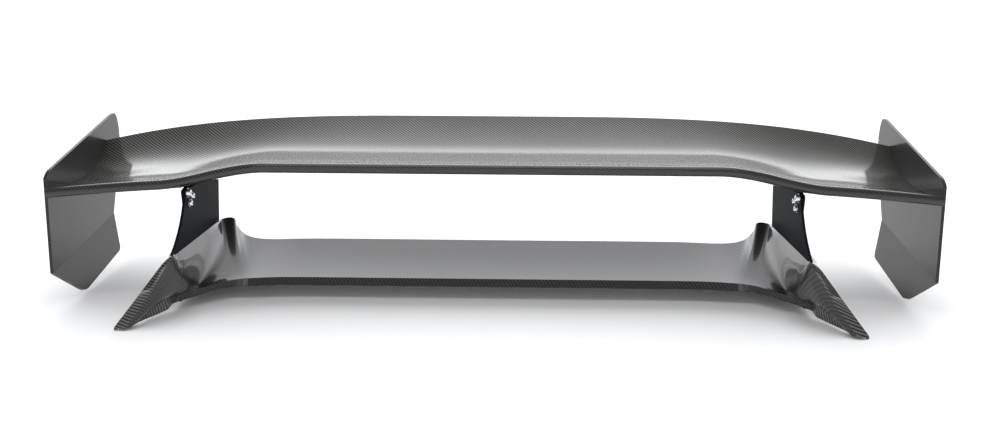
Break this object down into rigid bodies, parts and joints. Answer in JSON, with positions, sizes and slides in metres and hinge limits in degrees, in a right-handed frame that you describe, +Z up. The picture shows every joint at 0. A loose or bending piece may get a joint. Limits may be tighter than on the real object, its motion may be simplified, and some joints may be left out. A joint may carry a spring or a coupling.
{
  "type": "racing rear wing",
  "caption": "Carbon rear wing for a racing saloon: a wing between two folded endplates, tilting on two swept pylons that stand on a lid-mounted base with a leg down each side.",
  "frame": {"origin": "middle of the bottom of the whole assembly, at the height of the leg tips", "axes": "+X along the span, +Y to the rear of the car (trailing edge), +Z up"},
  "size_m": [1.406, 0.3998, 0.2699],
  "materials": {
    "wing_carbon": "woven carbon under a polished clear coat",
    "endplate_carbon": "woven carbon under a polished clear coat",
    "base_carbon": "woven carbon under a polished clear coat",
    "plain_carbon": "unpolished carbon laminate",
    "pylon_black": "satin black anodised aluminium",
    "bare_aluminium": "machined",
    "polished_steel": "polished stainless steel",
    "stainless": "plain stainless steel",
    "steel_insert": "zinc plated",
    "brass_insert": "machined",
    "seal_rubber": "soft black foam rubber"
  },
  "bodies": {
    "base": {"pylon_left": "pylon_black", "pylon_right": "pylon_black", "pylon_foot_left": "bare_aluminium", "pylon_foot_right": "bare_aluminium", "foot_bolts": "stainless", "foot_nuts": "stainless", "foot_inserts": "steel_insert", "base_upper_skin": "base_carbon", "base_lower_skin": "plain_carbon", "base_ribs": "plain_carbon", "front_seal": "seal_rubber", "leg_seals": "seal_rubber"},
    "wing": {"wing_upper_skin": "wing_carbon", "wing_lower_skin": "wing_carbon", "wing_main_spar": "plain_carbon", "wing_rear_spar": "plain_carbon", "wing_ribs": "plain_carbon", "bracket_ribs": "plain_carbon", "end_rib_left": "plain_carbon", "end_rib_right": "plain_carbon", "end_inserts": "brass_insert", "endplate_left": "endplate_carbon", "endplate_right": "endplate_carbon", "endplate_screws": "stainless", "endplate_washers": "stainless", "wing_bracket_left": "pylon_black", "wing_bracket_right": "pylon_black", "bracket_flanges": "pylon_black", "bracket_inserts": "steel_insert", "pivot_bolts": "polished_steel", "pivot_washers": "stainless", "clamp_bolts": "polished_steel", "clamp_washers": "stainless"}
  },
  "joints": [
    {"name": "wing_tilt", "type": "hinge", "parent": "base", "child": "wing", "pos_m": [0, -0.072, 0.184], "axis": [1, 0, 0], "range_deg": [-4, 8]}
  ]
}
